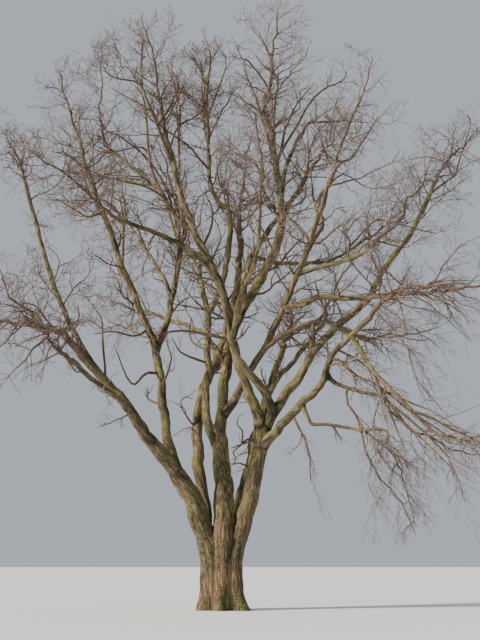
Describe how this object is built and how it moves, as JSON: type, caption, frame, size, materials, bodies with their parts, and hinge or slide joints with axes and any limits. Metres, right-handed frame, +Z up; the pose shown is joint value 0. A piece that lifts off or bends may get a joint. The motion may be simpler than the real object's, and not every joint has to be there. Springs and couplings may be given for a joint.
{
  "type": "bare winter tree",
  "caption": "Large bare deciduous tree in winter: fluted trunk, low fork into several stems, long bending boughs and open crown of fine twigs.",
  "frame": {"origin": "on the flat cut at ground level, under the middle of the trunk", "axes": "+Z up along the trunk, +X to the right and +Y away, as the tree is seen in its picture"},
  "size_m": [18.9604, 17.9808, 21.2616],
  "materials": {
    "trunk_bark": "matte",
    "bough_bark": "matte",
    "twig_bark": "matte"
  },
  "bodies": {
    "root": {"trunk": "trunk_bark", "stem_left": "bough_bark", "stem_centre": "bough_bark", "stem_right": "bough_bark", "stem_back_left": "bough_bark", "stem_back_right": "bough_bark", "bough_left_high": "bough_bark", "bough_left_rise": "bough_bark", "bough_left_middle": "bough_bark", "bough_left_back": "bough_bark", "bough_centre_left": "bough_bark", "bough_centre_rise": "bough_bark", "bough_centre_back": "bough_bark", "bough_back_right_high": "bough_bark", "bough_leader_fork": "bough_bark", "bough_cross": "bough_bark", "bough_cross_fork": "bough_bark", "bough_right_far": "bough_bark", "bough_dark": "bough_bark", "bough_front": "bough_bark", "bough_right_cross": "bough_bark", "bough_right_long": "bough_bark", "bough_right_fan": "bough_bark", "bough_back_right": "bough_bark", "bough_back_low": "bough_bark", "bough_back_left": "bough_bark", "bough_right_low": "bough_bark", "bough_right_hanging": "bough_bark", "bough_right_lower": "bough_bark", "bough_low_hook": "bough_bark", "bough_front_left": "bough_bark", "twigs_left_low": "twig_bark", "twigs_left_far": "twig_bark", "twigs_left_high": "twig_bark", "twigs_left_middle": "twig_bark", "twigs_left_back": "twig_bark", "twigs_back_top": "twig_bark", "twigs_crown_top": "twig_bark", "twigs_back": "twig_bark", "twigs_centre_top": "twig_bark", "twigs_right_top_back": "twig_bark", "twigs_right_top": "twig_bark", "twigs_left_top": "twig_bark", "twigs_left_top_fork": "twig_bark", "twigs_right_far": "twig_bark", "twigs_front_left": "twig_bark", "twigs_front": "twig_bark", "twigs_front_right_high": "twig_bark", "twigs_right_long": "twig_bark", "twigs_right_fan": "twig_bark", "twigs_back_right": "twig_bark", "twigs_back_right_high": "twig_bark", "twigs_front_right": "twig_bark", "twigs_right_hanging": "twig_bark", "twigs_right_lower": "twig_bark", "twigs_low_hook": "twig_bark", "twigs_right_inner": "twig_bark", "twigs_back_middle": "twig_bark", "twigs_back_left": "twig_bark", "twigs_front_low_left": "twig_bark"}
  },
  "joints": []
}
